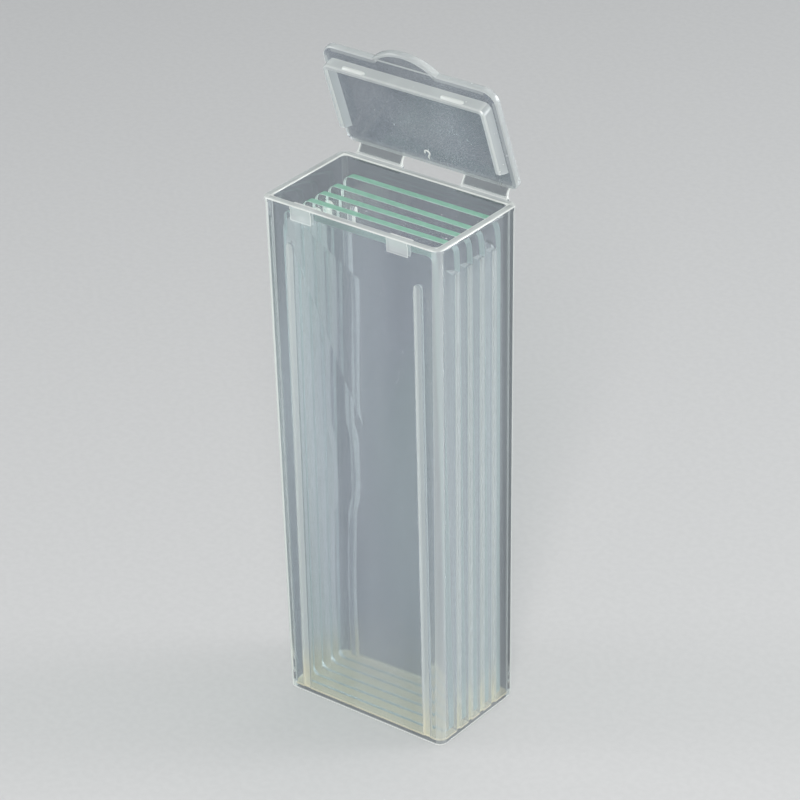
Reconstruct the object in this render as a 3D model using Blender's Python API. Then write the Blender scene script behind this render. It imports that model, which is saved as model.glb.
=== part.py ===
"""Flip-top slide mailer: a tapered plastic box, a hinged lid and five glass slides.

Metres, +Z up. The origin is the middle of the base. +Y is the hinge side, -Y the front with the snap lips.
"""
import math

import bmesh
import bpy
from mathutils import Vector

MM = 0.001

# Box
CASE_HEIGHT = 79.27
CASE_TOP_HALF = (15.0, 9.0)
CASE_BASE_HALF = (13.975, 8.75)
CASE_CORNER = 1.3
BASE_FILLET = 1.0
BAND_OUT = 0.12
BAND_HEIGHT = 0.55
RIM_CHAMFER = 0.1
FLOOR = 0.8
CAVITY_TOP_HALF = (13.96, 7.96)
CAVITY_BASE_HALF = (13.15, 7.75)
CAVITY_CORNER = 0.7
CAVITY_FILLET = 0.4
CORNER_STEPS = 5

# Divider fins on the side walls
FIN_PITCH = 2.76
FIN_THICK = 1.15
FIN_TOP = 74.15
FIN_END_BASE = 12.0
FIN_END_TOP = 12.25
FIN_ROUND = 1.0

# Ribs on the front and back walls
RIB_X = 10.85
RIB_WIDTH = 1.25
RIB_DEPTH = 0.65
RIB_TOP = 73.0

# Sway of the uneven rear left rib
LEAN_OUT = 0.35
WAVE_OUT = 0.14
WAVE_PITCH = 31.0
WAVE_PEAK = 60.0
STEP_OUT = 0.62
STEP_LOW = 25.5
STEP_HIGH = 40.0
STEP_SOFT = 2.6

# Snap lips inside the front rim
LIP_X = 8.2
LIP_WIDTH = 3.7
LIP_OUT = 0.25
LIP_TALL = 0.6
TICK_WIDTH = 0.25
TICK_TALL = 1.8

# Hinge ledges outside the back rim
LEDGE_INNER = 4.93
LEDGE_OUTER = 12.9
LEDGE_Y = 9.75
LEDGE_TALL = 0.9
ROOT_TALL = 0.22

# Lid, drawn closed, measured from the hinge axis
HINGE_Y = 9.67
HINGE_Z = 79.08
LID_OPEN = 71.4
PLATE_HALF_X = 14.6
PLATE_BACK = -1.52
PLATE_LENGTH = 17.27
PLATE_UNDER = 0.44
PLATE_THICK = 1.06
PLATE_FREE_CORNER = 2.2
PLATE_HINGE_CORNER = 1.2
PLATE_CHAMFER = 0.12
TAB_X = -0.3
TAB_HALF = 5.4
TAB_OUT = 2.1
SKIRT_HALF_X = 13.67
SKIRT_FRONT = 15.34
SKIRT_THICK = 0.8
SKIRT_TALL = 1.75
SKIRT_CORNER = 1.1
SKIRT_END_FREE = 4.1
SKIRT_END_BASE = 3.1
BEAD_X = 8.3
BEAD_WIDTH = 3.8
BEAD_OUT = 0.38
BEAD_DROP = 1.35
BEAD_HALF_TALL = 0.36

# Hinge straps
STRAP_INNER = 5.0
STRAP_OUTER = 12.9
STRAP_THICK = 0.34
STRAP_PATH = ((-0.72, 0.48), (-0.86, 0.72), (-0.98, 0.98), (-1.04, 1.24))

# Slides: name, middle of the foot (x, y), middle of the top edge (y), turn about Z in degrees
SLIDE_SIZE = (25.4, 1.15, 76.2)
SLIDE_CORNER = 1.3
SLIDE_CHAMFER = 0.06
SLIDE_FOOT = 1.05
SLIDES = (
    ("glass_slide_1", 0.20, -5.50, -6.50, 0.0),
    ("glass_slide_2", 0.24, -2.76, -2.78, 0.50),
    ("glass_slide_3", 0.24, -0.02, -0.05, 0.29),
    ("glass_slide_4", 0.24, 2.76, 2.74, -0.27),
    ("glass_slide_5", 0.10, 5.50, 6.50, 0.43),
)

WALL_BITE = 0.45


def clear_scene():
    for item in list(bpy.data.objects):
        bpy.data.objects.remove(item, do_unlink=True)


def plastic(name, colour, roughness, alpha):
    material = bpy.data.materials.new(name)
    material.use_nodes = True
    shader = material.node_tree.nodes["Principled BSDF"]
    shader.inputs["Base Color"].default_value = (*colour, 1.0)
    shader.inputs["Roughness"].default_value = roughness
    shader.inputs["Metallic"].default_value = 0.0
    shader.inputs["Alpha"].default_value = alpha
    return material


def mix(low, high, t):
    return low + (high - low) * t


def wall_at(z, axis):
    """Half-width of the cavity at height z, along x (axis 0) or y (axis 1)."""
    t = (z - FLOOR) / (CASE_HEIGHT - FLOOR)
    return mix(CAVITY_BASE_HALF[axis], CAVITY_TOP_HALF[axis], t)


def rounded_ring(half_x, half_y, radius, z):
    points = []
    corners = ((1, 1, 0), (-1, 1, 90), (-1, -1, 180), (1, -1, 270))
    for side_x, side_y, start in corners:
        for step in range(CORNER_STEPS + 1):
            angle = math.radians(start + 90.0 * step / CORNER_STEPS)
            x = side_x * (half_x - radius) + radius * math.cos(angle)
            y = side_y * (half_y - radius) + radius * math.sin(angle)
            points.append((x, y, z))
    return points


def add_loft(mesh, rings):
    """Skin a closed solid through rings that have the same number of points."""
    loops = []
    for ring in rings:
        loops.append([mesh.verts.new(Vector(point) * MM) for point in ring])
    count = len(loops[0])
    for below, above in zip(loops, loops[1:]):
        for i in range(count):
            j = (i + 1) % count
            mesh.faces.new((below[i], below[j], above[j], above[i]))
    mesh.faces.new(loops[0][::-1])
    mesh.faces.new(loops[-1])


def new_object(name, mesh, material=None, smooth_angle=None):
    bmesh.ops.recalc_face_normals(mesh, faces=mesh.faces)
    data = bpy.data.meshes.new(name)
    mesh.to_mesh(data)
    mesh.free()
    if smooth_angle is not None:
        data.shade_smooth()
        data.set_sharp_from_angle(angle=math.radians(smooth_angle))
    item = bpy.data.objects.new(name, data)
    bpy.context.scene.collection.objects.link(item)
    if material is not None:
        data.materials.append(material)
    return item


def hide_tool(item):
    item.hide_render = True
    item.display_type = "WIRE"


def add_boolean(target, tool, operation):
    modifier = target.modifiers.new(tool.name, "BOOLEAN")
    modifier.operation = operation
    modifier.solver = "EXACT"
    modifier.object = tool
    hide_tool(tool)


def case_outer_rings():
    rings = []
    steps = 4
    for step in range(steps + 1):
        angle = math.radians(90.0 * step / steps)
        inset = BASE_FILLET * (1.0 - math.sin(angle))
        z = BASE_FILLET * (1.0 - math.cos(angle))
        rings.append(rounded_ring(
            CASE_BASE_HALF[0] - inset, CASE_BASE_HALF[1] - inset, CASE_CORNER - inset, z))
    half_x, half_y = CASE_TOP_HALF
    band_z = CASE_HEIGHT - BAND_HEIGHT
    rings.append(rounded_ring(half_x, half_y, CASE_CORNER, band_z - BAND_OUT))
    rings.append(rounded_ring(half_x + BAND_OUT, half_y + BAND_OUT, CASE_CORNER + BAND_OUT, band_z))
    rings.append(rounded_ring(
        half_x + BAND_OUT, half_y + BAND_OUT, CASE_CORNER + BAND_OUT, CASE_HEIGHT - RIM_CHAMFER))
    inset = BAND_OUT - RIM_CHAMFER
    rings.append(rounded_ring(half_x + inset, half_y + inset, CASE_CORNER + inset, CASE_HEIGHT))
    return rings


def case_cavity_rings():
    base_x, base_y = CAVITY_BASE_HALF
    low = CAVITY_FILLET * 0.3
    over = 2.0
    top = CASE_HEIGHT + over
    return [
        rounded_ring(base_x - CAVITY_FILLET, base_y - CAVITY_FILLET, CAVITY_CORNER - CAVITY_FILLET, FLOOR),
        rounded_ring(base_x - low, base_y - low, CAVITY_CORNER - low, FLOOR + low),
        rounded_ring(base_x, base_y, CAVITY_CORNER, FLOOR + CAVITY_FILLET),
        rounded_ring(wall_at(top, 0), wall_at(top, 1), CAVITY_CORNER, top),
    ]


def fin_rings(side, y):
    """One divider: a profile across the wall with a rounded inner top, drawn through its thickness."""
    profile = [(FIN_END_BASE, FLOOR - 0.35), (wall_at(FLOOR, 0) + WALL_BITE, FLOOR - 0.35)]
    profile.append((wall_at(FIN_TOP, 0) + WALL_BITE, FIN_TOP))
    for step in range(CORNER_STEPS + 1):
        angle = math.radians(90.0 + 90.0 * step / CORNER_STEPS)
        x = FIN_END_TOP + FIN_ROUND + FIN_ROUND * math.cos(angle)
        profile.append((x, FIN_TOP - FIN_ROUND + FIN_ROUND * math.sin(angle)))
    half = FIN_THICK / 2
    return [[(side * x, y - half, z) for x, z in profile], [(side * x, y + half, z) for x, z in profile]]


def rib_rings(side_x, side_y, sway):
    """One wall rib: a strip with a round top; sway(z) shifts its edges sideways."""
    half = RIB_WIDTH / 2
    heights = [FLOOR - 0.35] + [z for z in range(3, 72, 3)]
    left = [(side_x * RIB_X - half + sway(z), z) for z in heights]
    right = [(side_x * RIB_X + half + sway(z), z) for z in heights]
    arch = []
    for step in range(5):
        angle = math.radians(180.0 * (step + 1) / 6)
        arch.append((side_x * RIB_X + half * math.cos(angle), RIB_TOP - half + half * math.sin(angle)))
    profile = right + arch + left[::-1]
    inner = [(x, side_y * (wall_at(z, 1) - RIB_DEPTH), z) for x, z in profile]
    outer = [(x, side_y * (wall_at(z, 1) + WALL_BITE), z) for x, z in profile]
    return [inner, outer]


def straight(z):
    return 0.0


def wavy(z):
    """Sideways sway of the uneven rib at height z: a lean, a slow wave and one step."""
    inside = min(z - STEP_LOW, STEP_HIGH - z) / STEP_SOFT
    t = max(0.0, min(1.0, inside))
    step = STEP_OUT * t * t * (3.0 - 2.0 * t)
    wave = WAVE_OUT * math.cos(2.0 * math.pi * (z - WAVE_PEAK) / WAVE_PITCH)
    return step + wave - LEAN_OUT * (1.0 - z / RIB_TOP)


def lip_rings(x):
    """One snap lip: a wedge inside the front rim, drawn along x."""
    wall = wall_at(CASE_HEIGHT, 1)
    top = CASE_HEIGHT - 0.06
    profile = [
        (-wall - WALL_BITE, top),
        (-wall + LIP_OUT * 0.6, top),
        (-wall + LIP_OUT, top - 0.15),
        (-wall + LIP_OUT, top - LIP_TALL * 0.6),
        (-wall - 0.05, top - LIP_TALL),
        (-wall - WALL_BITE, top - LIP_TALL),
    ]
    half = LIP_WIDTH / 2
    return [[(x - half, y, z) for y, z in profile], [(x + half, y, z) for y, z in profile]]


def box_rings(low, high):
    x0, y0, z0 = low
    x1, y1, z1 = high
    return [[(x0, y0, z), (x1, y0, z), (x1, y1, z), (x0, y1, z)] for z in (z0, z1)]


def tick_rings(x):
    wall = wall_at(CASE_HEIGHT, 1)
    top = CASE_HEIGHT - 0.12
    low = (x - TICK_WIDTH / 2, -wall - WALL_BITE, top - TICK_TALL)
    return box_rings(low, (x + TICK_WIDTH / 2, -wall + LIP_OUT * 0.6, top))


def ledge_rings(side):
    """One hinge ledge behind the rim, with a low root where its strap starts."""
    back = CASE_TOP_HALF[1]
    low = CASE_HEIGHT - LEDGE_TALL
    profile = [
        (back - WALL_BITE, low),
        (back + 0.05, low),
        (LEDGE_Y, low + 0.35),
        (LEDGE_Y, CASE_HEIGHT + ROOT_TALL * 0.7),
        (LEDGE_Y - 0.07, CASE_HEIGHT + ROOT_TALL),
        (LEDGE_Y - 0.2, CASE_HEIGHT + ROOT_TALL),
        (LEDGE_Y - 0.34, CASE_HEIGHT - 0.02),
        (back - WALL_BITE, CASE_HEIGHT - 0.02),
    ]
    ends = sorted((side * LEDGE_INNER, side * LEDGE_OUTER))
    return [[(x, y, z) for y, z in profile] for x in ends]


def build_case(material):
    mesh = bmesh.new()
    add_loft(mesh, case_outer_rings())
    case = new_object("case", mesh, material, 35.0)

    mesh = bmesh.new()
    add_loft(mesh, case_cavity_rings())
    add_boolean(case, new_object("cut_cavity", mesh), "DIFFERENCE")

    mesh = bmesh.new()
    for side in (-1, 1):
        for number in range(4):
            add_loft(mesh, fin_rings(side, (number - 1.5) * FIN_PITCH))
        add_loft(mesh, rib_rings(side, -1, straight))
        add_loft(mesh, rib_rings(side, 1, wavy if side < 0 else straight))
        add_loft(mesh, lip_rings(side * LIP_X))
        add_loft(mesh, ledge_rings(side))
    add_boolean(case, new_object("join_fins_ribs", mesh), "UNION")

    mesh = bmesh.new()
    for side in (-1, 1):
        for end in (-1, 1):
            add_loft(mesh, tick_rings(side * LIP_X + end * (LIP_WIDTH - TICK_WIDTH) / 2))
    add_boolean(case, new_object("join_lip_ticks", mesh), "UNION")
    return case


def arc(centre, radius, start, end, steps):
    points = []
    for step in range(steps + 1):
        angle = math.radians(mix(start, end, step / steps))
        points.append((centre[0] + radius * math.cos(angle), centre[1] + radius * math.sin(angle)))
    return points


def plate_outline(grow):
    """Outline of the lid plate with its thumb tab, seen from above, grown outwards by grow."""
    back = PLATE_BACK + grow
    front = PLATE_BACK - PLATE_LENGTH - grow
    half = PLATE_HALF_X + grow
    hinge_r = PLATE_HINGE_CORNER + grow
    free_r = PLATE_FREE_CORNER + grow
    tab_r = (TAB_HALF ** 2 + TAB_OUT ** 2) / (2 * TAB_OUT)
    tab_mid = (TAB_X, PLATE_BACK - PLATE_LENGTH - TAB_OUT + tab_r)
    reach = math.degrees(math.acos((tab_mid[1] - front) / (tab_r + grow)))
    points = arc((half - hinge_r, back - hinge_r), hinge_r, 0, 90, CORNER_STEPS)
    points += arc((-half + hinge_r, back - hinge_r), hinge_r, 90, 180, CORNER_STEPS)
    points += arc((-half + free_r, front + free_r), free_r, 180, 270, CORNER_STEPS)
    points += arc(tab_mid, tab_r + grow, 270 - reach, 270 + reach, 16)
    points += arc((half - free_r, front + free_r), free_r, 270, 360, CORNER_STEPS)
    return points


def plate_rings():
    rings = []
    top = PLATE_UNDER + PLATE_THICK
    heights = (
        (PLATE_UNDER, -PLATE_CHAMFER),
        (PLATE_UNDER + PLATE_CHAMFER, 0.0),
        (top - PLATE_CHAMFER, 0.0),
        (top, -PLATE_CHAMFER),
    )
    for z, grow in heights:
        rings.append([(x, y, z) for x, y in plate_outline(grow)])
    return rings


def skirt_outline(inset, end):
    """U-shaped outline of the skirt, seen from above; end is how far its arms stop from the hinge edge."""
    back = PLATE_BACK - end
    half = SKIRT_HALF_X - inset
    front = PLATE_BACK - SKIRT_FRONT + inset
    radius = SKIRT_CORNER - inset
    thick = SKIRT_THICK - 2 * inset
    outer = [(-half, back)]
    outer += arc((-half + radius, front + radius), radius, 180, 270, CORNER_STEPS)
    outer += arc((half - radius, front + radius), radius, 270, 360, CORNER_STEPS)
    outer += [(half, back)]
    small = max(radius - thick, 0.25)
    half -= thick
    front += thick
    inner = [(half, back)]
    inner += arc((half - small, front + small), small, 360, 270, CORNER_STEPS)
    inner += arc((-half + small, front + small), small, 270, 180, CORNER_STEPS)
    inner += [(-half, back)]
    return outer + inner


def skirt_rings():
    free = PLATE_UNDER - SKIRT_TALL
    slant = (SKIRT_END_FREE - SKIRT_END_BASE) / SKIRT_TALL
    root = PLATE_UNDER + 0.4
    rings = []
    for z, inset in ((free, 0.12), (free + 0.14, 0.0), (root, 0.0)):
        end = SKIRT_END_FREE - slant * (z - free)
        rings.append([(x, y, z) for x, y in skirt_outline(inset, end)])
    return rings


def bead_rings(x):
    """One snap bead: a half-round bar on the skirt's front face with tapered ends."""
    face = PLATE_BACK - SKIRT_FRONT
    middle = PLATE_UNDER - BEAD_DROP
    rings = []
    half = BEAD_WIDTH / 2
    for along, scale in ((-half, 0.35), (-half + 0.4, 1.0), (half - 0.4, 1.0), (half, 0.35)):
        ring = [(x + along, face + 0.3, middle + BEAD_HALF_TALL * scale)]
        for step in range(7):
            angle = math.radians(90.0 + 180.0 * step / 6)
            y = face + BEAD_OUT * scale * math.cos(angle)
            ring.append((x + along, y, middle + BEAD_HALF_TALL * scale * math.sin(angle)))
        ring.append((x + along, face + 0.3, middle - BEAD_HALF_TALL * scale))
        rings.append(ring)
    return rings


def build_lid(hinge, material):
    mesh = bmesh.new()
    add_loft(mesh, plate_rings())
    lid = new_object("lid", mesh, material, 35.0)
    lid.parent = hinge

    mesh = bmesh.new()
    add_loft(mesh, skirt_rings())
    skirt = new_object("join_skirt", mesh)
    skirt.parent = hinge
    add_boolean(lid, skirt, "UNION")

    mesh = bmesh.new()
    for side in (-1, 1):
        add_loft(mesh, bead_rings(side * BEAD_X))
    beads = new_object("join_beads", mesh)
    beads.parent = hinge
    add_boolean(lid, beads, "UNION")
    return lid


def strap_rings(side):
    """One thin strap: its section follows STRAP_PATH and runs along x."""
    left = []
    right = []
    for i, point in enumerate(STRAP_PATH):
        before = STRAP_PATH[max(i - 1, 0)]
        after = STRAP_PATH[min(i + 1, len(STRAP_PATH) - 1)]
        along = Vector((after[0] - before[0], after[1] - before[1])).normalized()
        across = Vector((along.y, -along.x)) * STRAP_THICK / 2
        left.append((point[0] - across.x, point[1] - across.y))
        right.append((point[0] + across.x, point[1] + across.y))
    profile = left + right[::-1]
    ends = sorted((side * STRAP_INNER, side * STRAP_OUTER))
    return [[(x, y, z) for y, z in profile] for x in ends]


def build_strap(name, side, hinge, material):
    mesh = bmesh.new()
    add_loft(mesh, strap_rings(side))
    strap = new_object(name, mesh, material, 40.0)
    strap.parent = hinge
    return strap


def build_slide(name, foot_x, foot_y, top_y, turn, material):
    """A glass slide standing on its foot, with its origin at the middle of the foot edge."""
    width, thick, height = SLIDE_SIZE
    mesh = bmesh.new()
    rings = []
    half = thick / 2
    flat = half - SLIDE_CHAMFER
    for y, inset in ((-half, SLIDE_CHAMFER), (-flat, 0.0), (flat, 0.0), (half, SLIDE_CHAMFER)):
        outline = rounded_ring(width / 2 - inset, height / 2 - inset, SLIDE_CORNER - inset, 0.0)
        rings.append([(x, y, z + height / 2) for x, z, _ in outline])
    add_loft(mesh, rings)
    slide = new_object(name, mesh, material, 40.0)
    slide.location = Vector((foot_x, foot_y, SLIDE_FOOT)) * MM
    lean = math.asin((foot_y - top_y) / height)
    slide.rotation_euler = (lean, 0.0, math.radians(turn))
    return slide


def main():
    clear_scene()
    frosted = plastic("natural_polypropylene", (0.62, 0.66, 0.63), 0.32, 0.55)
    lid_plastic = plastic("lid_polypropylene", (0.60, 0.64, 0.61), 0.36, 0.6)
    web = plastic("hinge_polypropylene", (0.66, 0.69, 0.66), 0.28, 0.5)
    glass = plastic("slide_glass", (0.60, 0.74, 0.70), 0.05, 0.35)

    build_case(frosted)

    hinge = bpy.data.objects.new("lid_hinge_axis", None)
    bpy.context.scene.collection.objects.link(hinge)
    hinge.location = Vector((0.0, HINGE_Y, HINGE_Z)) * MM
    hinge.rotation_euler = (math.radians(-LID_OPEN), 0.0, 0.0)
    build_lid(hinge, lid_plastic)
    build_strap("hinge_strap_left", -1, hinge, web)
    build_strap("hinge_strap_right", 1, hinge, web)

    for name, foot_x, foot_y, top_y, turn in SLIDES:
        build_slide(name, foot_x, foot_y, top_y, turn, glass)


main()
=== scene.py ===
"""Looks for the flip-top slide mailer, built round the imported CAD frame.

Metres, +Z up, the frame's own axes: -Y is the front with the snap lips, +Y the hinge side.
"""
import math

import bmesh
import bpy
from mathutils import Matrix, Vector


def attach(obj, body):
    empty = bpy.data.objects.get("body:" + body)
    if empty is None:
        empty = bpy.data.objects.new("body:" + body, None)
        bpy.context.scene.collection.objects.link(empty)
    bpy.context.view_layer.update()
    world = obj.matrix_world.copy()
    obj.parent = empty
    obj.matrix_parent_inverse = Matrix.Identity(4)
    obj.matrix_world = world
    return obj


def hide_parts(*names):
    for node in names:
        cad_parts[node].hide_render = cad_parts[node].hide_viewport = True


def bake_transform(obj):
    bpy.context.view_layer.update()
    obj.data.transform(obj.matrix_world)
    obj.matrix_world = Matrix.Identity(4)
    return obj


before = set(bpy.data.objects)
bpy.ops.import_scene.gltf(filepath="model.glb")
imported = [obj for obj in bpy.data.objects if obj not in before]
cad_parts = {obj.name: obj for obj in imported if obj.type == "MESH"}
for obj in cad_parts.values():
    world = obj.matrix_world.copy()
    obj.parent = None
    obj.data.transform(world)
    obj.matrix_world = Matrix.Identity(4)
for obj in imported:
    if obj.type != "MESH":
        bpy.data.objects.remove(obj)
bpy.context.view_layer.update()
MM = 0.001

# Box
CASE_HEIGHT = 79.27
CASE_TOP_HALF = (15.0, 9.0)
CASE_BASE_HALF = (13.975, 8.75)
CASE_CORNER = 1.3
BASE_FILLET = 1.0
BAND_OUT = 0.12
BAND_HEIGHT = 0.55
FLOOR = 0.8
CAVITY_TOP_HALF = (13.96, 7.96)
CAVITY_BASE_HALF = (13.15, 7.75)
CAVITY_CORNER = 0.7
CAVITY_FILLET = 0.4
CORNER_STEPS = 6

FIN_PITCH = 2.76
FIN_THICK = 1.15
FIN_TOP = 74.15
FIN_END_BASE = 12.0
FIN_END_TOP = 12.25
FIN_ROUND = 1.0
FIN_STEP = 1.6

RIB_X = 10.85
RIB_WIDTH = 1.25
RIB_DEPTH = 0.65
RIB_TOP = 73.0
RIB_STEP = 1.2

# How the rear left rib's edges wander, read from the photo
LEAN_OUT = 0.35
STEP_OUT = 0.62
STEP_LOW = 25.5
STEP_HIGH = 40.0
STEP_SOFT = 2.6
WAVE_OUT = 0.14
WAVE_PEAK = 60.0
WAVE_PITCH = 31.0
TEETH_OUT = 0.09
TEETH_PITCH = 2.9
TEETH_LOW = 24.0
TEETH_HIGH = 36.0
TEETH_SOFT = 3.0

LIP_X = 8.2
LIP_WIDTH = 3.7
LIP_OUT = 0.25
LIP_TALL = 0.6
TICK_WIDTH = 0.25
TICK_TALL = 1.8

LEDGE_INNER = 4.93
LEDGE_OUTER = 12.9
LEDGE_Y = 9.75
LEDGE_TALL = 0.9

# Lid, drawn closed, measured from the hinge axis
HINGE_Y = 9.67
HINGE_Z = 79.08
LID_OPEN = 71.4
PLATE_HALF_X = 14.6
PLATE_BACK = -1.52
PLATE_LENGTH = 17.27
PLATE_FRONT = PLATE_BACK - PLATE_LENGTH
PLATE_UNDER = 0.44
PLATE_THICK = 1.06
PLATE_HINGE_CORNER = 1.2
PLATE_FREE_CORNER = 2.2
SKIRT_HALF_X = 13.67
SKIRT_FACE = PLATE_BACK - 15.34
SKIRT_THICK = 0.8
SKIRT_TALL = 1.75
SKIRT_CORNER = 1.1
SKIRT_END = 4.1
SKIRT_SLANT = 1.0
BEAD_X = 8.3
BEAD_OUT = 0.38
BEAD_HALF_TALL = 0.36
BEAD_DROP = 1.35
TAB_X = -0.3
TAB_HALF = 5.4
TAB_OUT = 2.1
TAB_RADIUS = (TAB_HALF ** 2 + TAB_OUT ** 2) / (2 * TAB_OUT)
TAB_MIDDLE = (TAB_X, PLATE_FRONT - TAB_OUT + TAB_RADIUS)
TAB_STEPS = 24

# Hinge straps, from their inner to their outer side edge
STRAP_INNER = 5.15
STRAP_OUTER = 12.75

# How far added parts sink into the wall and the floor, so that they join it
WALL_BITE = 0.45
FLOOR_BITE = 0.35

# Plastic colours
PALE = (0.74, 0.775, 0.755, 1.0)
BODY = (0.57, 0.615, 0.655, 1.0)
LID_BODY = (0.34, 0.375, 0.42, 1.0)
CLEAR_WEB = (0.40, 0.43, 0.45, 1.0)

# Camera fitted to the photo
CAMERA_LENS = 164.016
CAMERA_PLACE = (0.27383, -0.34846, 0.29370)
CAMERA_RIGHT = (0.79421623, 0.60728807, -0.0205374)
CAMERA_DOWN = (0.27999651, -0.39576009, -0.87462901)
CAMERA_AHEAD = (-0.53927964, 0.68889415, -0.48435763)


# ---------------------------------------------------------------- mesh helpers

def mix(low, high, t):
    return low + (high - low) * t


def wall_at(z, axis):
    t = (z - FLOOR) / (CASE_HEIGHT - FLOOR)
    return mix(CAVITY_BASE_HALF[axis], CAVITY_TOP_HALF[axis], t)


def arc(centre, radius, start, end, steps):
    points = []
    for step in range(steps + 1):
        angle = math.radians(mix(start, end, step / steps))
        points.append((centre[0] + radius * math.cos(angle), centre[1] + radius * math.sin(angle)))
    return points


def rounded_ring(half_x, half_y, radius, z, steps=CORNER_STEPS):
    points = []
    corners = ((1, 1, 0), (-1, 1, 90), (-1, -1, 180), (1, -1, 270))
    for side_x, side_y, start in corners:
        centre = (side_x * (half_x - radius), side_y * (half_y - radius))
        points += [(x, y, z) for x, y in arc(centre, radius, start, start + 90, steps)]
    return points


def add_loft(mesh, rings):
    loops = []
    for ring in rings:
        loops.append([mesh.verts.new(Vector(point) * MM) for point in ring])
    count = len(loops[0])
    for below, above in zip(loops, loops[1:]):
        for i in range(count):
            j = (i + 1) % count
            mesh.faces.new((below[i], below[j], above[j], above[i]))
    mesh.faces.new(loops[0][::-1])
    mesh.faces.new(loops[-1])


def finished(name, mesh, material=None, sharp=30.0):
    bmesh.ops.recalc_face_normals(mesh, faces=mesh.faces)
    data = bpy.data.meshes.new(name)
    mesh.to_mesh(data)
    mesh.free()
    item = bpy.data.objects.new(name, data)
    bpy.context.scene.collection.objects.link(item)
    smooth(item, sharp)
    if material is not None:
        data.materials.append(material)
    return item


def smooth(item, sharp):
    item.data.shade_smooth()
    item.data.set_sharp_from_angle(angle=math.radians(sharp))


def apply_modifiers(item):
    graph = bpy.context.evaluated_depsgraph_get()
    data = bpy.data.meshes.new_from_object(item.evaluated_get(graph))
    item.modifiers.clear()
    item.data = data


def boolean(target, rings_list, operation):
    mesh = bmesh.new()
    for rings in rings_list:
        add_loft(mesh, rings)
    tool = finished("tool", mesh)
    modifier = target.modifiers.new("b", "BOOLEAN")
    modifier.operation = operation
    modifier.solver = "EXACT"
    modifier.object = tool
    apply_modifiers(target)
    bpy.data.objects.remove(tool, do_unlink=True)


def paint(item, name, rule):
    """Stores rule(x, y, z in mm) on each vertex, for the materials to read."""
    layer = item.data.attributes.new(name, "FLOAT", "POINT")
    for vertex, value in zip(item.data.vertices, layer.data):
        value.value = rule(*(vertex.co / MM))


def paint_faces(item, name, rule):
    """Stores rule(centre in mm, normal) on each face."""
    layer = item.data.attributes.new(name, "FLOAT", "FACE")
    for face, value in zip(item.data.polygons, layer.data):
        value.value = rule(face.center / MM, face.normal)


# ---------------------------------------------------------------- the box

def case_outer_rings():
    rings = []
    for step in range(6):
        angle = math.radians(90.0 * step / 5)
        inset = BASE_FILLET * (1.0 - math.sin(angle))
        z = BASE_FILLET * (1.0 - math.cos(angle))
        rings.append(rounded_ring(
            CASE_BASE_HALF[0] - inset, CASE_BASE_HALF[1] - inset, CASE_CORNER - inset, z))
    band_z = CASE_HEIGHT - BAND_HEIGHT
    half_x, half_y = CASE_TOP_HALF
    rings.append(rounded_ring(half_x, half_y, CASE_CORNER, band_z - 0.08))
    grow = BAND_OUT
    rings.append(rounded_ring(half_x + grow, half_y + grow, CASE_CORNER + grow, band_z))
    for inset, drop in ((0.0, 0.2), (0.03, 0.11), (0.09, 0.04), (0.2, 0.0)):
        grow = BAND_OUT - inset
        rings.append(rounded_ring(
            half_x + grow, half_y + grow, CASE_CORNER + grow, CASE_HEIGHT - drop))
    return rings


def case_cavity_rings():
    base_x, base_y = CAVITY_BASE_HALF
    rings = []
    for step in range(4):
        angle = math.radians(90.0 * step / 3)
        inset = CAVITY_FILLET * (1.0 - math.sin(angle))
        z = FLOOR + CAVITY_FILLET * (1.0 - math.cos(angle))
        rings.append(rounded_ring(base_x - inset, base_y - inset, CAVITY_CORNER - inset, z))
    for drop, grow in ((0.18, 0.0), (0.05, 0.05), (0.0, 0.16), (-1.0, 1.2)):
        z = CASE_HEIGHT - drop
        rings.append(rounded_ring(
            wall_at(z, 0) + grow, wall_at(z, 1) + grow, CAVITY_CORNER + grow, z))
    return rings


def bump_between(z, low, high, soft):
    """1 between two heights and 0 outside them, with soft ends."""
    rise = max(0.0, min(1.0, (z - low) / soft))
    fall = max(0.0, min(1.0, (high - z) / soft))
    t = min(rise, fall)
    return t * t * (3 - 2 * t)


def wavy(z):
    """Sideways sway of the rear left rib and divider at height z."""
    lean = -LEAN_OUT * (1.0 - z / RIB_TOP)
    step = STEP_OUT * bump_between(z, STEP_LOW, STEP_HIGH, STEP_SOFT)
    wave = WAVE_OUT * math.cos(2 * math.pi * (z - WAVE_PEAK) / WAVE_PITCH)
    teeth = TEETH_OUT * math.sin(2 * math.pi * z / TEETH_PITCH)
    return lean + step + wave + teeth * bump_between(z, TEETH_LOW, TEETH_HIGH, TEETH_SOFT)


def straight(z):
    return 0.0


def rear_left_sway(x, y, z):
    """How far the rear left rib and divider lean at this height, in mm; nothing elsewhere."""
    return wavy(z) if x < 0 and y > FIN_PITCH else 0.0


def fin_rings(side, y, sway):
    """One divider with a rounded inner top and softly rounded end edges."""
    heights = [FLOOR - FLOOR_BITE] + [FIN_STEP * step for step in range(2, 45)]
    half = FIN_THICK / 2
    soft = 0.16
    layers = ((-half, soft), (-half + 0.05, 0.05), (-half + soft, 0.0),
              (half - soft, 0.0), (half - 0.05, 0.05), (half, soft))
    rings = []
    for across, inset in layers:
        end = []
        for z in heights:
            t = z / FIN_TOP
            x = mix(FIN_END_BASE, FIN_END_TOP, t) + inset
            end.append((side * x + sway(z), z))
        top = []
        middle = (FIN_END_TOP + FIN_ROUND, FIN_TOP - FIN_ROUND)
        for x, z in arc(middle, FIN_ROUND - inset, 180, 90, CORNER_STEPS):
            top.append((side * x + sway(z), z))
        wall = []
        for z in (FIN_TOP - inset, FLOOR - FLOOR_BITE):
            wall.append((side * (wall_at(z, 0) + WALL_BITE), z))
        rings.append([(x, y + across, z) for x, z in end + top + wall])
    return rings


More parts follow.
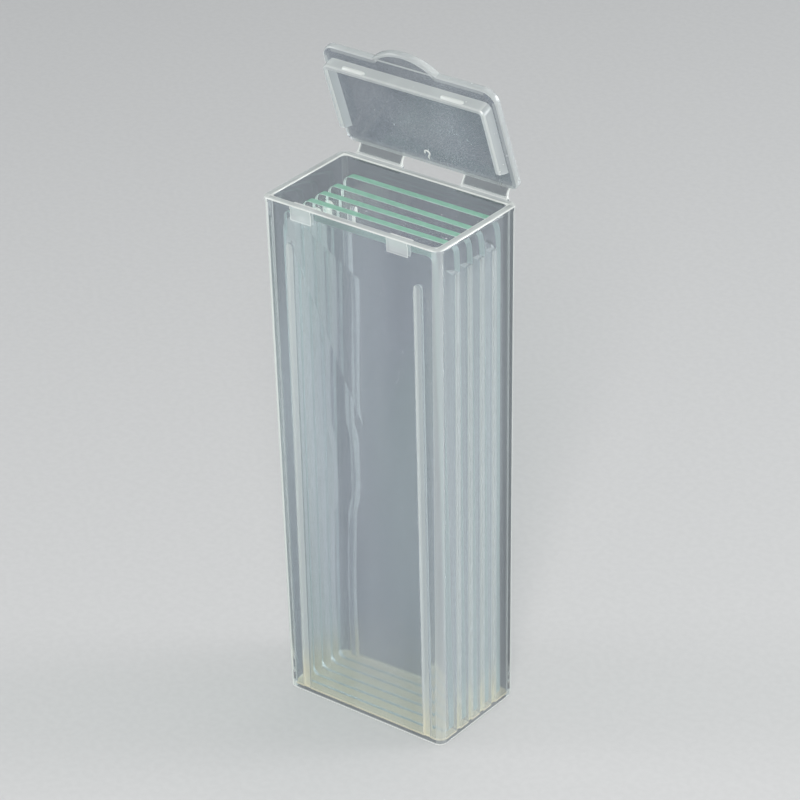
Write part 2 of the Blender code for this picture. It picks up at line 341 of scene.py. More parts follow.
def rib_rings(side_x, side_y, sway):
    """One wall rib: a strip with a round top; sway(z) shifts its edges sideways."""
    half = RIB_WIDTH / 2
    mid = side_x * RIB_X
    heights = [FLOOR - FLOOR_BITE] + [RIB_STEP * step for step in range(2, 61)]
    layers = ((RIB_DEPTH, 0.22), (RIB_DEPTH - 0.06, 0.08), (RIB_DEPTH - 0.2, 0.0), (-WALL_BITE, 0.0))
    rings = []
    for depth, inset in layers:
        wide = half - inset
        left = [(mid - wide + sway(z), z) for z in heights]
        right = [(mid + wide + sway(z), z) for z in heights]
        arch = arc((mid + sway(RIB_TOP), RIB_TOP - half), wide, 30, 150, CORNER_STEPS)
        profile = right + arch + left[::-1]
        rings.append([(x, side_y * (wall_at(z, 1) - depth), z) for x, z in profile])
    return rings


def lip_rings(x):
    wall = wall_at(CASE_HEIGHT, 1)
    top = CASE_HEIGHT - 0.03
    profile = [
        (-wall - WALL_BITE, top),
        (-wall + LIP_OUT * 0.6, top),
        (-wall + LIP_OUT, top - 0.15),
        (-wall + LIP_OUT, top - LIP_TALL * 0.6),
        (-wall - 0.05, top - LIP_TALL),
        (-wall - WALL_BITE, top - LIP_TALL),
    ]
    half = LIP_WIDTH / 2
    return [[(x - half, y, z) for y, z in profile], [(x + half, y, z) for y, z in profile]]


def box_rings(low, high):
    x0, y0, z0 = low
    x1, y1, z1 = high
    return [[(x0, y0, z), (x1, y0, z), (x1, y1, z), (x0, y1, z)] for z in (z0, z1)]


def tick_rings(x):
    """The short upright bar at each end of a snap lip."""
    wall = wall_at(CASE_HEIGHT, 1)
    top = CASE_HEIGHT - 0.12
    half = TICK_WIDTH / 2
    low = (x - half, -wall - WALL_BITE, top - TICK_TALL)
    return box_rings(low, (x + half, -wall + LIP_OUT * 0.6, top))


def ledge_rings(side):
    back = CASE_TOP_HALF[1]
    low = CASE_HEIGHT - LEDGE_TALL
    profile = [
        (back - WALL_BITE, low),
        (back + 0.05, low),
        (LEDGE_Y - 0.1, low + 0.28),
        (LEDGE_Y, low + 0.4),
        (LEDGE_Y, CASE_HEIGHT - 0.1),
        (LEDGE_Y - 0.05, CASE_HEIGHT - 0.02),
        (back - WALL_BITE, CASE_HEIGHT - 0.02),
    ]
    ends = sorted((side * LEDGE_INNER, side * LEDGE_OUTER))
    return [[(x, y, z) for y, z in profile] for x in ends]


def build_case(material):
    mesh = bmesh.new()
    add_loft(mesh, case_outer_rings())
    case = finished("box_moulding", mesh, material)
    boolean(case, [case_cavity_rings()], "DIFFERENCE")
    joined = []
    for side in (-1, 1):
        for number in range(4):
            sway = wavy if side < 0 and number == 3 else straight
            joined.append(fin_rings(side, (number - 1.5) * FIN_PITCH, sway))
        joined.append(rib_rings(side, -1, straight))
        joined.append(rib_rings(side, 1, wavy if side < 0 else straight))
        joined.append(lip_rings(side * LIP_X))
        joined.append(ledge_rings(side))
    boolean(case, joined, "UNION")
    ticks = []
    for side in (-1, 1):
        for end in (-1, 1):
            ticks.append(tick_rings(side * LIP_X + end * (LIP_WIDTH - TICK_WIDTH) / 2))
    boolean(case, ticks, "UNION")
    smooth(case, 28.0)
    paint(case, "sway", rear_left_sway)
    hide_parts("case")
    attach(case, "case")


# ---------------------------------------------------------------- the lid

def plate_outline(grow):
    back = PLATE_BACK + grow
    front = PLATE_FRONT - grow
    half = PLATE_HALF_X + grow
    hinge_r = PLATE_HINGE_CORNER + grow
    free_r = PLATE_FREE_CORNER + grow
    tab_r = TAB_RADIUS + grow
    reach = math.degrees(math.acos((TAB_MIDDLE[1] - front) / tab_r))
    points = arc((half - hinge_r, back - hinge_r), hinge_r, 0, 90, CORNER_STEPS)
    points += arc((-half + hinge_r, back - hinge_r), hinge_r, 90, 180, CORNER_STEPS)
    points += arc((-half + free_r, front + free_r), free_r, 180, 270, CORNER_STEPS)
    points += arc(TAB_MIDDLE, tab_r, 270 - reach, 270 + reach, TAB_STEPS)
    points += arc((half - free_r, front + free_r), free_r, 270, 360, CORNER_STEPS)
    return points


def plate_rings():
    rings = []
    top = PLATE_UNDER + PLATE_THICK
    heights = (
        (PLATE_UNDER, -0.75), (PLATE_UNDER, -0.2), (PLATE_UNDER + 0.04, -0.09),
        (PLATE_UNDER + 0.12, -0.02), (PLATE_UNDER + 0.22, 0.0),
        (top - 0.22, 0.0), (top - 0.12, -0.02),
        (top - 0.04, -0.09), (top, -0.2), (top, -0.75),
    )
    for z, grow in heights:
        rings.append([(x, y, z) for x, y in plate_outline(grow)])
    return rings


def skirt_outline(inset, end):
    """Three-sided skirt seen from above; end is how far it stops short of the plate's back edge."""
    back = PLATE_BACK - end
    half = SKIRT_HALF_X - inset
    front = SKIRT_FACE + inset
    radius = SKIRT_CORNER - inset
    thick = SKIRT_THICK - 2 * inset
    outer = [(-half, back)]
    outer += arc((-half + radius, front + radius), radius, 180, 270, CORNER_STEPS)
    outer += arc((half - radius, front + radius), radius, 270, 360, CORNER_STEPS)
    outer += [(half, back)]
    small = max(radius - thick, 0.25)
    half -= thick
    front += thick
    inner = [(half, back)]
    inner += arc((half - small, front + small), small, 360, 270, CORNER_STEPS)
    inner += arc((-half + small, front + small), small, 270, 180, CORNER_STEPS)
    inner += [(-half, back)]
    return outer + inner


def skirt_rings():
    free = PLATE_UNDER - SKIRT_TALL
    slant = SKIRT_SLANT / SKIRT_TALL
    rings = []
    for z, inset in ((free, 0.2), (free + 0.05, 0.08), (free + 0.18, 0.0), (PLATE_UNDER + 0.4, 0.0)):
        end = SKIRT_END - slant * (z - free)
        rings.append([(x, y, z) for x, y in skirt_outline(inset, end)])
    return rings


def bead_rings(x):
    """One snap bead: a half-round bar with tapered ends on the skirt's front face."""
    inside = SKIRT_FACE + 0.3
    middle = PLATE_UNDER - BEAD_DROP
    rings = []
    for along, scale in ((-1.9, 0.35), (-1.75, 0.8), (-1.5, 1.0), (1.5, 1.0), (1.75, 0.8), (1.9, 0.35)):
        tall = BEAD_HALF_TALL * scale
        ring = [(x + along, inside, middle + tall)]
        for step in range(9):
            angle = math.radians(90.0 + 180.0 * step / 8)
            y = SKIRT_FACE + BEAD_OUT * scale * math.cos(angle)
            ring.append((x + along, y, middle + tall * math.sin(angle)))
        ring.append((x + along, inside, middle - tall))
        rings.append(ring)
    return rings


def tab_recess_rings():
    """The shallow hollow under the thumb tab."""
    inner_r = TAB_RADIUS - 0.5
    chord = PLATE_FRONT + 0.1
    reach = math.degrees(math.acos((TAB_MIDDLE[1] - chord) / inner_r))
    outline = arc(TAB_MIDDLE, inner_r, 270 - reach, 270 + reach, TAB_STEPS)
    return [[(x, y, z) for x, y in outline] for z in (PLATE_UNDER - 0.3, PLATE_UNDER + 0.3)]


def gate_mark_rings():
    """The small hooked flash left by the gate, on the plate's inner face near the hinge edge."""
    path = arc((-0.2, PLATE_BACK - 2.2), 0.42, 150, 385, 14)
    path += [(0.0, PLATE_BACK - 1.75), (-0.12, PLATE_BACK - 1.45), (-0.05, PLATE_BACK - 1.15)]
    rings = []
    last = len(path) - 1
    for i, (x, y) in enumerate(path):
        x0, y0 = path[max(i - 1, 0)]
        x1, y1 = path[min(i + 1, last)]
        along = Vector((x1 - x0, y1 - y0)).normalized()
        size = 0.13 if 0 < i < last else 0.05
        ring = []
        for step in range(8):
            angle = 2 * math.pi * step / 8
            side = size * math.cos(angle)
            z = PLATE_UNDER - size * math.sin(angle)
            ring.append((x - along.y * side, y + along.x * side, z))
        rings.append(ring)
    return rings


def lid_place():
    """From the closed lid's own frame, about the hinge axis, to the open lid in the photo."""
    turn = Matrix.Rotation(math.radians(-LID_OPEN), 4, "X")
    return Matrix.Translation(Vector((0.0, HINGE_Y, HINGE_Z)) * MM) @ turn


def lid_brightness(centre, normal):
    """How milky each face of the closed lid looks, with painted glow along its edges: clear plate, brighter
    skirt, brightest along edges.
    """
    if centre.z < PLATE_UNDER - 0.03:
        if centre.y < SKIRT_FACE - 0.04:
            return 1.0
        at_edge = centre.z < PLATE_UNDER - SKIRT_TALL + 0.2
        if at_edge:
            return 0.8 if abs(normal.z) < 0.95 else 0.65
        if normal.y < -0.9:
            return 0.75
        return 0.6 if centre.x * normal.x > 0 else 0.42
    if abs(normal.z) < 0.97:
        return 0.72
    if centre.y < PLATE_FRONT + 0.1:
        return 0.12 if centre.z > PLATE_UNDER + 0.1 and normal.z < 0 else 0.6
    border = min(PLATE_HALF_X - abs(centre.x), PLATE_BACK - centre.y, centre.y - PLATE_FRONT)
    return 0.42 if border < 0.6 else 0.0


def build_gate_mark(material):
    mesh = bmesh.new()
    add_loft(mesh, gate_mark_rings())
    mark = finished("lid_gate_mark", mesh, material, 60.0)
    paint_faces(mark, "bright", lambda centre, normal: 1.1)
    mark.data.transform(lid_place())
    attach(mark, "lid")


def build_lid(material):
    mesh = bmesh.new()
    add_loft(mesh, plate_rings())
    lid = finished("lid_moulding", mesh, material)
    boolean(lid, [skirt_rings()], "UNION")
    boolean(lid, [bead_rings(-BEAD_X), bead_rings(BEAD_X)], "UNION")
    boolean(lid, [tab_recess_rings()], "DIFFERENCE")
    smooth(lid, 28.0)
    paint_faces(lid, "bright", lid_brightness)
    lid.data.transform(lid_place())
    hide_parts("lid")
    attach(lid, "lid")


# ---------------------------------------------------------------- hinge straps

STRAP_PATH = (
    (9.52, 79.12), (9.60, 79.30), (9.68, 79.52), (9.76, 79.78), (9.90, 80.05),
    (10.10, 80.32), (10.30, 80.55), (10.46, 80.78), (10.56, 81.00), (10.66, 81.25),
)


def strap_rings(side):
    """Rings along the film's path; each runs across its front face and back across its rear face."""
    rings = []
    count = len(STRAP_PATH)
    for i, (y, z) in enumerate(STRAP_PATH):
        y0, z0 = STRAP_PATH[max(i - 1, 0)]
        y1, z1 = STRAP_PATH[min(i + 1, count - 1)]
        along = Vector((y1 - y0, z1 - z0)).normalized()
        across = Vector((along.y, -along.x))
        t = i / (count - 1)
        half = 0.13 + 0.12 * abs(2 * t - 1) ** 2
        flare = 0.75 * max(0.0, (t - 0.45) / 0.55) ** 2 + 0.25 * max(0.0, (0.3 - t) / 0.3) ** 2
        outer = STRAP_OUTER + flare
        inner = STRAP_INNER - 0.35 * flare
        middle = mix(inner, outer, 0.5)
        columns = (inner, inner + 0.12, inner + 0.4, middle, outer - 0.4, outer - 0.12, outer)
        ring = [(x, -1) for x in columns] + [(outer + 0.05, 0)]
        ring += [(x, 1) for x in columns[::-1]] + [(inner - 0.05, 0)]
        points = []
        for x, lift in ring:
            points.append((side * x, y + across.x * half * lift, z + across.y * half * lift))
        rings.append(points)
    return rings


def strap_brightness(item):
    """Bright along the free side edges and where the film joins the ledge and the lid."""
    values = []
    count = len(STRAP_PATH)
    for i in range(count):
        end = 0.5 if i in (0, 1, count - 1) else 0.0
        row = [0.95, 0.7, end, end, end, 0.7, 0.95, 1.0]
        values += row + row[:7][::-1] + [1.0]
    layer = item.data.attributes.new("bright", "FLOAT", "POINT")
    layer.data.foreach_set("value", values)


def build_strap(name, side, material):
    mesh = bmesh.new()
    add_loft(mesh, strap_rings(side))
    strap = finished("strap_" + name, mesh, material, 50.0)
    strap_brightness(strap)
    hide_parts("hinge_strap_" + name)
    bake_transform(strap)


# ---------------------------------------------------------------- slides

def build_slides(glass, edge):
    for number in range(1, 6):
        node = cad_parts["glass_slide_" + str(number)]
        data = node.data
        data.materials.clear()
        data.materials.append(glass)
        data.materials.append(edge)
        for polygon in data.polygons:
            polygon.material_index = 0 if abs(polygon.normal.y) > 0.9 else 1


# ---------------------------------------------------------------- materials

class Nodes:
    """Short calls for building one material's node tree."""

    def __init__(self, name):
        self.material = bpy.data.materials.new(name)
        self.material.use_nodes = True
        self.tree = self.material.node_tree
        self.tree.nodes.clear()
        self.out = self.tree.nodes.new("ShaderNodeOutputMaterial")
        self.coords = self.tree.nodes.new("ShaderNodeTexCoord").outputs["Object"]

    def link(self, source, target):
        self.tree.links.new(source, target)

    def set(self, socket, value):
        if isinstance(value, bpy.types.NodeSocket):
            self.link(value, socket)
        else:
            socket.default_value = value

    def scaled(self, scale):
        node = self.tree.nodes.new("ShaderNodeMapping")
        node.inputs["Scale"].default_value = scale
        self.link(self.coords, node.inputs["Vector"])
        return node.outputs[0]

    def noise(self, scale, detail=3.0, rough=0.5, stretch=(1, 1, 1), warp=0.0):
        node = self.tree.nodes.new("ShaderNodeTexNoise")
        node.inputs["Scale"].default_value = scale
        node.inputs["Detail"].default_value = detail
        node.inputs["Roughness"].default_value = rough
        node.inputs["Distortion"].default_value = warp
        self.link(self.scaled(stretch), node.inputs["Vector"])
        return node.outputs["Fac"]

    def ramp(self, value, low, high, out_low=0.0, out_high=1.0):
        node = self.tree.nodes.new("ShaderNodeMapRange")
        node.interpolation_type = "SMOOTHSTEP"
        self.link(value, node.inputs["Value"])
        node.inputs["From Min"].default_value = low
        node.inputs["From Max"].default_value = high
        node.inputs["To Min"].default_value = out_low
        node.inputs["To Max"].default_value = out_high
        return node.outputs[0]

    def math(self, kind, a, b=0.0):
        node = self.tree.nodes.new("ShaderNodeMath")
        node.operation = kind
        self.set(node.inputs[0], a)
        self.set(node.inputs[1], b)
        return node.outputs[0]

    def blend(self, factor, low, high):
        node = self.tree.nodes.new("ShaderNodeMix")
        node.data_type = "RGBA"
        self.set(node.inputs["Factor"], factor)
        self.set(node.inputs["A"], low)
        self.set(node.inputs["B"], high)
        return node.outputs["Result"]

    def bump(self, height, distance, strength=1.0, under=None):
        node = self.tree.nodes.new("ShaderNodeBump")
        node.inputs["Distance"].default_value = distance
        node.inputs["Strength"].default_value = strength
        self.link(height, node.inputs["Height"])
        if under is not None:
            self.link(under, node.inputs["Normal"])
        return node.outputs[0]

    def axis(self, index):
        node = self.tree.nodes.new("ShaderNodeSeparateXYZ")
        self.link(self.coords, node.inputs[0])
        return node.outputs[index]

    def facing_up(self):
        node = self.tree.nodes.new("ShaderNodeSeparateXYZ")
        self.link(self.tree.nodes.new("ShaderNodeNewGeometry").outputs["True Normal"], node.inputs[0])
        return node.outputs[2]

    def attribute(self, name):
        node = self.tree.nodes.new("ShaderNodeAttribute")
        node.attribute_name = name
        return node.outputs["Fac"]

    def principled(self, **values):
        node = self.tree.nodes.new("ShaderNodeBsdfPrincipled")
        for key, value in values.items():
            self.set(node.inputs[key.replace("_", " ")], value)
        return node.outputs[0]

    def lamp_clear(self, shader, tint):
        """Light from lamps and from matt surfaces passes as through a plain pane."""
        path = self.tree.nodes.new("ShaderNodeLightPath")
        clear = self.tree.nodes.new("ShaderNodeBsdfTransparent")
        clear.inputs["Color"].default_value = (*tint, 1.0)
        both = self.tree.nodes.new("ShaderNodeMixShader")
        factor = self.math("MAXIMUM", path.outputs["Is Shadow Ray"], path.outputs["Is Diffuse Ray"])
        self.link(factor, both.inputs[0])
        self.link(shader, both.inputs[1])
        self.link(clear.outputs[0], both.inputs[2])
        return both.outputs[0]

    def done(self, shader):
        self.link(shader, self.out.inputs["Surface"])
        return self.material


def colour(red, green, blue):
    def linear(value):
        value /= 255.0
        return value / 12.92 if value <= 0.04045 else ((value + 0.055) / 1.055) ** 2.4
    return (linear(red), linear(green), linear(blue), 1.0)


def shell_distance(n, base_half, top_half, axis):
    """How far a point lies inside the tapered outer faces along one axis, in metres."""
    slope = (top_half[axis] - base_half[axis]) / CASE_HEIGHT
    half = n.math("ADD", n.math("MULTIPLY", n.axis(2), slope), base_half[axis] * MM)
    return n.math("SUBTRACT", half, n.math("ABSOLUTE", n.axis(axis)))


def box_zones(n):
    """0 on the plain walls; 1 and a little over on rim, base, upright corners, fins and ribs, whose bright
    lines are painted glow.
    """
    side = n.math("ABSOLUTE", n.axis(0))
    depth = n.math("ABSOLUTE", n.axis(1))
    height = n.axis(2)
    wall_x = shell_distance(n, CAVITY_BASE_HALF, CAVITY_TOP_HALF, 0)
    wall_y = shell_distance(n, CAVITY_BASE_HALF, CAVITY_TOP_HALF, 1)
    outer_x = shell_distance(n, CASE_BASE_HALF, CASE_TOP_HALF, 0)
    outer_y = shell_distance(n, CASE_BASE_HALF, CASE_TOP_HALF, 1)
    corner_in = n.math("MAXIMUM", outer_x, outer_y)
    # Painted glow along the upright corners, stronger on the front left and rear right corners than on the
    # other two.
    product = n.math("MULTIPLY", n.math("MULTIPLY", n.axis(0), 1000.0), n.axis(1))
    diagonal = n.ramp(product, -0.01, 0.01, 0.38, 1.0)
    corner = n.math("MULTIPLY", n.ramp(corner_in, 0.00125, 0.00100), diagonal)
    outside = n.math("MINIMUM", outer_x, outer_y)
    # Painted highlight: the rim's outer and inner edges are brighter than its middle.
    middle = n.ramp(n.math("ABSOLUTE", n.math("SUBTRACT", outside, 0.00045)), 0.00025, 0.00045, 0.75, 1.15)
    rim = n.math("MULTIPLY", n.ramp(height, 0.07905, 0.0792), middle)
    inside = n.math("MULTIPLY", n.ramp(wall_x, -0.00015, 0.00005), n.ramp(wall_y, -0.00015, 0.00005))
    tread = n.math("MULTIPLY", n.ramp(height, 0.0014, 0.0010), n.math("MULTIPLY", inside, 1.6))
    tread = n.math("MULTIPLY", tread, n.ramp(height, 0.0003, 0.0006))
    # Painted light: a near-white line along the outer bottom fillet.
    fillet = n.math("MULTIPLY", n.ramp(outside, 0.0009, 0.0006), n.ramp(height, 0.0009, 0.0006, 0.0, 1.4))
    base = n.math("MAXIMUM", tread, fillet)
    below_top = n.ramp(height, 0.0746, 0.0742)
    across = n.math("ABSOLUTE", n.math("SUBTRACT", n.axis(0), n.math("MULTIPLY", n.attribute("sway"), MM)))
    end_in = n.math("SUBTRACT", across, n.math("ADD", FIN_END_BASE * MM, n.math(
        "MULTIPLY", height, (FIN_END_TOP - FIN_END_BASE) / FIN_TOP)))
    fins = n.math("MULTIPLY", n.ramp(wall_x, 0.0001, 0.0004), n.ramp(side, 0.0110, 0.0113))
    fins = n.math("MULTIPLY", fins, n.ramp(depth, 0.0056, 0.0052))
    # Painted light: the left fins are lit all over, the right fins only along painted highlight lines at
    # their inner ends and tops.
    left = n.ramp(n.axis(0), 0.001, -0.001, 0.45, 1.2)
    ends = n.math("MAXIMUM", n.ramp(end_in, 0.00022, 0.00008), n.ramp(height, 0.0739, 0.0740, 0.0, 1.1))
    fins = n.math("MULTIPLY", fins, n.math("MAXIMUM", left, ends))
    rib_side = n.math("ABSOLUTE", n.math("SUBTRACT", across, RIB_X * MM))
    ribs = n.math("MULTIPLY", n.ramp(wall_y, 0.0001, 0.0004), n.ramp(depth, 0.0060, 0.0063))
    ribs = n.math("MULTIPLY", ribs, n.ramp(rib_side, 0.00075, 0.00068))
    # Painted light: the front ribs are evenly lighter, the rear ribs carry painted highlight lines along
    # their edges.
    front = n.ramp(n.axis(1), 0.001, -0.001)
    line = n.math("MULTIPLY", n.ramp(rib_side, 0.00028, 0.00042), n.ramp(
        across, (RIB_X + 0.1) * MM, (RIB_X - 0.1) * MM, 0.8, 1.0))
    bar = n.math("ADD", n.math("ADD", 0.2, n.math("MULTIPLY", front, 0.6)), n.math(
        "MULTIPLY", line, n.math("SUBTRACT", 1.5, n.math("MULTIPLY", front, 1.2))))
    ribs = n.math("MULTIPLY", ribs, bar)
    proud = n.math("MULTIPLY", n.math("MAXIMUM", fins, ribs), below_top)
    patch = n.math("MULTIPLY", n.ramp(side, 0.00635, 0.00645), n.ramp(side, 0.01005, 0.00995))
    patch = n.math("MULTIPLY", patch, n.math(
        "MULTIPLY", n.ramp(height, 0.0769, 0.0771), n.ramp(n.axis(1), -0.0070, -0.0074)))
    core = n.math("MULTIPLY", n.ramp(side, 0.00650, 0.00660), n.ramp(side, 0.00990, 0.00980))
    core = n.math("MULTIPLY", core, n.ramp(height, 0.0771, 0.0772))
    patch = n.math("MULTIPLY", patch, n.math("SUBTRACT", 0.8, n.math("MULTIPLY", core, 0.3)))
    haze = n.math("MULTIPLY", n.ramp(n.axis(0), 0.0124, 0.0132, 0.0, 0.08), n.math(
        "MULTIPLY", n.ramp(n.axis(1), 0.0056, 0.0050), n.ramp(height, 0.0745, 0.0720)))
    marks = n.math("MAXIMUM", n.math("MAXIMUM", proud, patch), haze)
    return n.math("MAXIMUM", n.math("MAXIMUM", corner, marks), n.math("MAXIMUM", rim, base))


def lid_zones(n):
    """0 on the lid plate, up to 1 on its skirt, beads and border; one long faint scuff on the plate."""
    away = n.math("MULTIPLY", n.math("SUBTRACT", n.axis(2), HINGE_Z * MM), 1.055)
    across = n.math("SUBTRACT", n.axis(0), n.math("MULTIPLY", away, 0.8))
    scuff = n.ramp(n.math("ABSOLUTE", n.math("ADD", across, 0.0143)), 0.00030, 0.00005, 0.0, 0.16)
    reach = n.math("MULTIPLY", n.ramp(away, 0.003, 0.004), n.ramp(away, 0.0125, 0.010))
    scuff = n.math("MULTIPLY", scuff, reach)
    return n.math("MAXIMUM", n.attribute("bright"), scuff)


def strap_zones(n):
    """The brightness painted on the film, as it is."""
    return n.ramp(n.attribute("bright"), 0.0, 1.0)


def box_shade(n):
    """Painted shade inside the rear and left walls, painted light and warmth at the foot."""
    rear = n.ramp(n.axis(1), 0.0072, 0.0076)
    left = n.ramp(n.axis(0), -0.0128, -0.0132)
    high = n.ramp(n.axis(2), 0.045, 0.072, 0.0, 0.72)
    inner = n.math("MINIMUM", shell_distance(n, CASE_BASE_HALF, CASE_TOP_HALF, 0),
                   shell_distance(n, CASE_BASE_HALF, CASE_TOP_HALF, 1))
    inner = n.ramp(inner, 0.0004, 0.0007)
    # Painted light: the lowest 0.9 mm is blended towards near white.
    foot = n.ramp(n.axis(2), 0.0009, 0.0002, 0.0, 0.55)
    # Painted shade: the inside of the rear wall is darkened, more towards the top, and the upper inside of
    # the left wall too.
    painted_rear_shade = n.math("MULTIPLY", rear, n.math("MAXIMUM", high, 0.60))
    painted_shade = n.math("MAXIMUM", painted_rear_shade, n.math("MULTIPLY", left, high))
    painted_shade = n.math("MULTIPLY", painted_shade, inner)
    # Painted shade: a darker band on the right wall between the last fin and the rear corner.
    slot = n.math("MULTIPLY", n.ramp(n.axis(0), 0.0128, 0.0132, 0.0, 0.35), n.math(
        "MULTIPLY", n.ramp(n.axis(1), 0.0052, 0.0056), n.ramp(n.axis(1), 0.0082, 0.0078)))
    warm = n.math("MULTIPLY", n.ramp(n.axis(2), 0.0090, 0.0010, 0.0, 0.9), inner)
    return n.math("MAXIMUM", painted_shade, slot), foot, n.math("MULTIPLY", warm, n.ramp(n.axis(2), 0.0006, 0.0009))


def lid_shade(n):
    """Faint darker and lighter clouds on the lid, and no warmth."""
    dark = n.ramp(n.noise(60.0, 2.0, 0.5), 0.35, 0.7, 0.0, 0.15)
    return dark, n.ramp(n.noise(90.0, 3.0, 0.5), 0.45, 0.7, 0.0, 0.08), 0.0


def polypropylene(name, zones, milk, rough, body, pale, grain, specks, shades):
    """Natural polypropylene: milky in its zones, which also carry painted glow, with soft flow marks, fine
    grain and scuffs.

    milk is how milky it is on the plain walls and in the zones; shades gives painted shade, painted light
    and warmth on the box and faint clouds on the lid.
    """
    n = Nodes(name)
    zone = zones(n)
    flow = n.noise(120.0, 1.0, 0.45, (1, 1, 0.12), 0.4)
    fine = n.noise(5200.0, 2.0, 0.5)
    scuff = n.noise(900.0, 4.0, 0.6, (1.0, 1.0, 0.35), 0.6)
    cloud = n.ramp(flow, 0.35, 0.7, milk[0] * 0.75, milk[0] * 1.3)
    streak = n.ramp(scuff, 0.66, 0.78, 0.0, 0.05)
    speck = n.ramp(n.noise(5200.0, 1.0, 0.5), 0.50, 0.72, 0.0, specks)
    speck = n.math("MULTIPLY", speck, n.ramp(zone, 0.3, 0.0))
    share = n.math("ADD", cloud, n.math("ADD", streak, speck))
    share = n.math("ADD", share, n.math("MULTIPLY", zone, milk[1]))
    share = n.math("MINIMUM", share, 0.97)
    lighter = tuple(min(1.0, c * 1.08) for c in body[:3]) + (1.0,)
    shade = n.blend(n.ramp(flow, 0.3, 0.7), body, lighter)
    warm = 0.0
    if shades is not None:
        dark, light, warm = shades(n)
        # On the box these are painted shade and painted light; on the lid they are faint dark and light
        # clouds.
        shade = n.blend(dark, shade, (0.10, 0.11, 0.13, 1.0))
        shade = n.blend(light, shade, (0.95, 0.97, 0.98, 1.0))
    shade = n.blend(n.math("MINIMUM", zone, 1.0), shade, pale)
    # Zones over 0.95 turn near white: painted highlight on the brightest lines, and the treads turn near
    # white too.
    shade = n.blend(n.ramp(zone, 0.95, 1.4), shade, (0.95, 0.96, 0.94, 1.0))
    shade = n.blend(n.math("MULTIPLY", warm, zone), shade, (1.0, 0.91, 0.66, 1.0))
    roughness = n.ramp(fine, 0.3, 0.7, rough * 0.8, rough * 1.2)
    roughness = n.math("ADD", roughness, n.math("MULTIPLY", streak, 2.0))
    normal = n.bump(flow, 0.00002, 0.3)
    normal = n.bump(fine, 0.0000008, grain, normal)
    shader = n.principled(
        Base_Color=shade, Roughness=roughness, IOR=1.49,
        Transmission_Weight=n.math("SUBTRACT", 1.0, share), Normal=normal)
    return n.done(n.lamp_clear(shader, (0.87, 0.88, 0.88)))


def slide_glass():
    """Clear glass with a faint colour play, smears and dust."""
    n = Nodes("slide_glass_face")
    play = n.noise(38.0, 1.0, 0.4, (1, 1, 0.6), 0.6)
    smear = n.noise(140.0, 4.0, 0.6, (1, 1, 0.4), 1.2)
    dust = n.noise(2400.0, 1.0, 0.4)
    tint = n.blend(n.ramp(play, 0.35, 0.65), (0.991, 0.976, 0.996, 1.0), (0.975, 0.996, 0.983, 1.0))
    film = n.math("ADD", n.ramp(smear, 0.5, 0.8, 0.0, 0.02), n.ramp(dust, 0.76, 0.8, 0.0, 0.5))
    shader = n.principled(
        Base_Color=tint, Roughness=n.ramp(smear, 0.45, 0.8, 0.0, 0.05),
        IOR=1.52, Transmission_Weight=n.math("SUBTRACT", 1.0, film))
    return n.done(n.lamp_clear(shader, (0.97, 0.985, 0.98)))


def slide_edge():
    """Ground glass edge: teal along the top, paler and clearer round the corners and down the sides."""
    n = Nodes("slide_glass_ground_edge")
    grind = n.noise(2600.0, 2.0, 0.5, (0.5, 1.0, 0.5))
    up = n.math("MULTIPLY", n.ramp(n.facing_up(), 0.55, 0.95), n.ramp(n.axis(2), 0.070, 0.072))
    up = n.math("MULTIPLY", up, n.ramp(n.axis(1), -0.0046, -0.0040, 0.35, 1.0))
    side = n.ramp(n.axis(0), -0.002, 0.002, 0.5, 0.35)
    clear = n.math("MULTIPLY", side, n.math("SUBTRACT", 1.0, n.math("MULTIPLY", up, 0.9)))
    low = n.blend(up, (0.58, 0.73, 0.69, 1.0), colour(138, 186, 166))
    high = n.blend(up, (0.61, 0.76, 0.72, 1.0), colour(152, 198, 180))
    shader = n.principled(
        Base_Color=n.blend(n.ramp(grind, 0.3, 0.7), low, high),
        Roughness=n.ramp(grind, 0.3, 0.7, 0.36, 0.44),
        IOR=1.52, Transmission_Weight=clear, Normal=n.bump(grind, 0.0000003, 0.2))
    return n.done(n.lamp_clear(shader, (0.93, 0.96, 0.94)))


# ---------------------------------------------------------------- stage, lights, camera

def build_stage():
    mesh = bmesh.new()
    half = 1.6
    corners = ((-half, -half), (half, -half), (half, half), (-half, half))
    mesh.faces.new([mesh.verts.new((x, y, 0.0)) for x, y in corners])
    floor = finished("studio_floor", mesh)
    n = Nodes("studio_paper")
    grain = n.noise(900.0, 3.0)
    tone = n.blend(n.ramp(grain, 0.3, 0.7), (0.60, 0.605, 0.61, 1.0), (0.62, 0.625, 0.63, 1.0))
    floor.data.materials.append(n.done(n.principled(Base_Color=tone, Roughness=0.75)))
    world = bpy.data.worlds.new("studio")
    world.use_nodes = True
    background = world.node_tree.nodes["Background"]
    background.inputs["Color"].default_value = (0.86, 0.90, 0.93, 1.0)
    background.inputs["Strength"].default_value = 0.29
    bpy.context.scene.world = world


def area_light(name, place, aim, size, power, tint=(1, 1, 1)):
    data = bpy.data.lights.new(name, "AREA")
    data.shape = "RECTANGLE"
    data.size, data.size_y = size
    data.energy = power
    data.color = tint
    light = bpy.data.objects.new(name, data)
    bpy.context.scene.collection.objects.link(light)
    light.location = place
    light.rotation_euler = (Vector(aim) - Vector(place)).to_track_quat("-Z", "Y").to_euler()


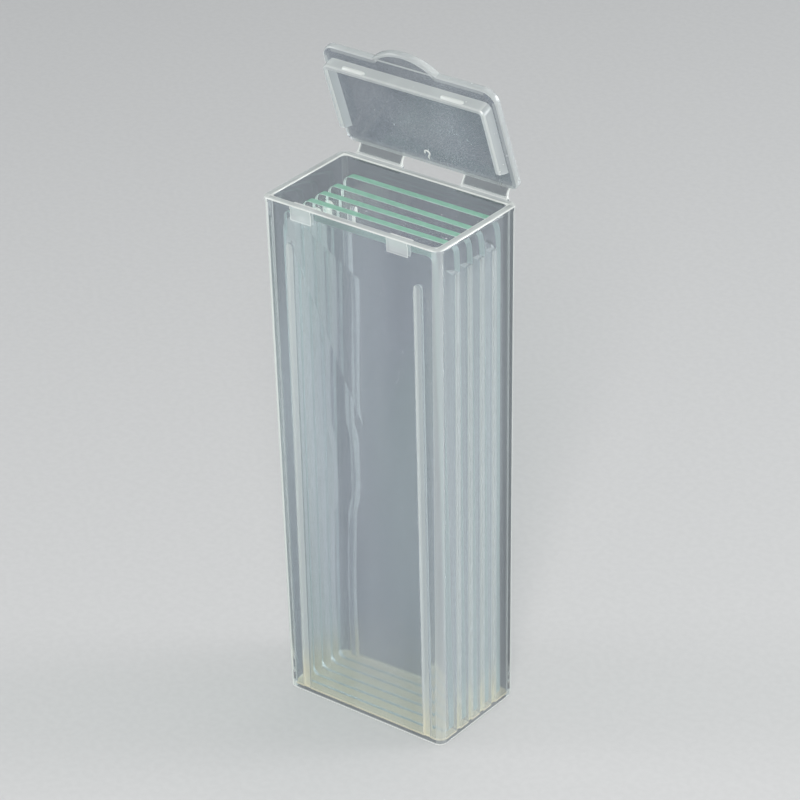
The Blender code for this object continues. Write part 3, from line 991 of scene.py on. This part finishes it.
def build_lights():
    aim = (0, 0, 0.04)
    area_light("key_softbox", (0.35, -0.52, 0.48), aim, (0.20, 0.20), 4.2, (1.0, 0.98, 0.95))
    area_light("top_softbox", (0.05, 0.20, 0.60), aim, (0.4, 0.3), 0.7, (1.0, 0.99, 0.97))
    area_light("left_strip", (-0.60, -0.40, 0.24), aim, (0.25, 0.35), 2.1, (0.97, 0.99, 1.0))
    area_light("right_strip", (0.55, 0.48, 0.24), aim, (0.25, 0.35), 3.4, (0.97, 0.99, 1.0))


def build_camera():
    data = bpy.data.cameras.new("camera")
    data.lens = CAMERA_LENS
    data.sensor_width = 36.0
    data.clip_start = 0.01
    camera = bpy.data.objects.new("camera", data)
    bpy.context.scene.collection.objects.link(camera)
    axes = Matrix((Vector(CAMERA_RIGHT), -Vector(CAMERA_DOWN), -Vector(CAMERA_AHEAD)))
    place = axes.transposed().to_4x4()
    place.translation = Vector(CAMERA_PLACE)
    camera.matrix_world = place
    bpy.context.scene.camera = camera


def light_paths():
    cycles = bpy.context.scene.cycles
    cycles.max_bounces = 28
    cycles.transmission_bounces = 28
    cycles.transparent_max_bounces = 40
    cycles.diffuse_bounces = 3
    cycles.glossy_bounces = 6
    cycles.sample_clamp_indirect = 6.0
    bpy.context.scene.view_settings.view_transform = "Standard"


build_camera()
build_stage()
build_lights()
light_paths()
box_plastic = polypropylene(
    "natural_polypropylene", box_zones, milk=(0.09, 0.60), rough=0.045, body=BODY, pale=PALE,
    grain=0.1, specks=0.02, shades=box_shade)
lid_plastic = polypropylene(
    "lid_polypropylene", lid_zones, milk=(0.20, 0.50), rough=0.22, body=LID_BODY, pale=PALE,
    grain=0.01, specks=0.42, shades=lid_shade)
strap_plastic = polypropylene(
    "hinge_polypropylene", strap_zones, milk=(0.06, 0.75), rough=0.10, body=CLEAR_WEB, pale=PALE,
    grain=0.1, specks=0.05, shades=None)
build_case(box_plastic)
build_lid(lid_plastic)
build_gate_mark(lid_plastic)
build_strap("left", -1, strap_plastic)
build_strap("right", 1, strap_plastic)
build_slides(slide_glass(), slide_edge())
